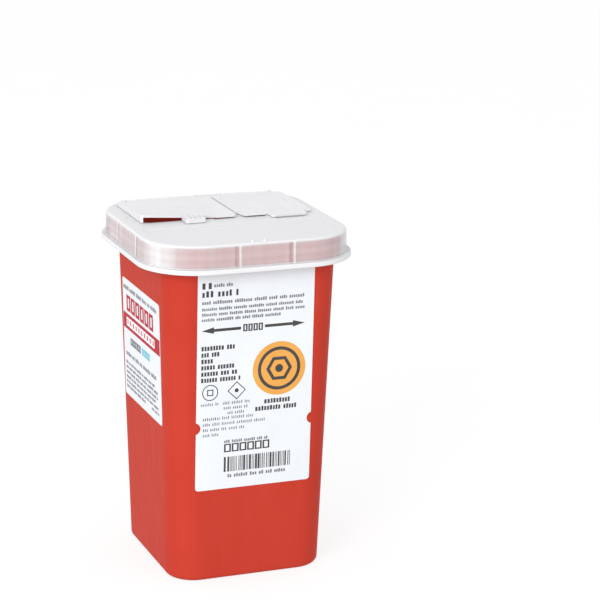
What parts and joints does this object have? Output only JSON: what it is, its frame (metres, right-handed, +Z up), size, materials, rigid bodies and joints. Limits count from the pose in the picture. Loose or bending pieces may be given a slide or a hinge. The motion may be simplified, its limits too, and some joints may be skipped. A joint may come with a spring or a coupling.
{
  "type": "sharps container",
  "caption": "Tapered red tub with a translucent press-on lid that has two hinged flaps, one over a drop opening and one over a needle unwinder.",
  "frame": {"origin": "on the table, under the middle of the bin", "axes": "+X to the right across the front, +Y to the back where the flaps are hinged, +Z up"},
  "size_m": [0.1064, 0.1114, 0.174],
  "materials": {
    "red_plastic": "moulded, semi-gloss",
    "natural_plastic": "moulded, translucent, satin",
    "white_plastic": "moulded, satin",
    "label": "smooth printed film"
  },
  "bodies": {
    "bin": {"bin": "red_plastic", "front_label": "label", "side_label": "label"},
    "lid": {"lid": "natural_plastic", "needle_unwinder": "white_plastic"},
    "drop_flap": {"drop_flap": "natural_plastic"},
    "unwinder_flap": {"unwinder_flap": "natural_plastic"}
  },
  "joints": [
    {"name": "lid_lift", "type": "slide", "parent": "bin", "child": "lid", "axis": [0, 0, 1], "range_m": [0, 0.025]},
    {"name": "drop_hinge", "type": "hinge", "parent": "lid", "child": "drop_flap", "pos_m": [-0.01805, 0.045, 0.1705], "axis": [-1, 0, 0], "range_deg": [0, 120]},
    {"name": "unwinder_hinge", "type": "hinge", "parent": "lid", "child": "unwinder_flap", "pos_m": [0.0262, 0.045, 0.1705], "axis": [-1, 0, 0], "range_deg": [0, 120]}
  ]
}
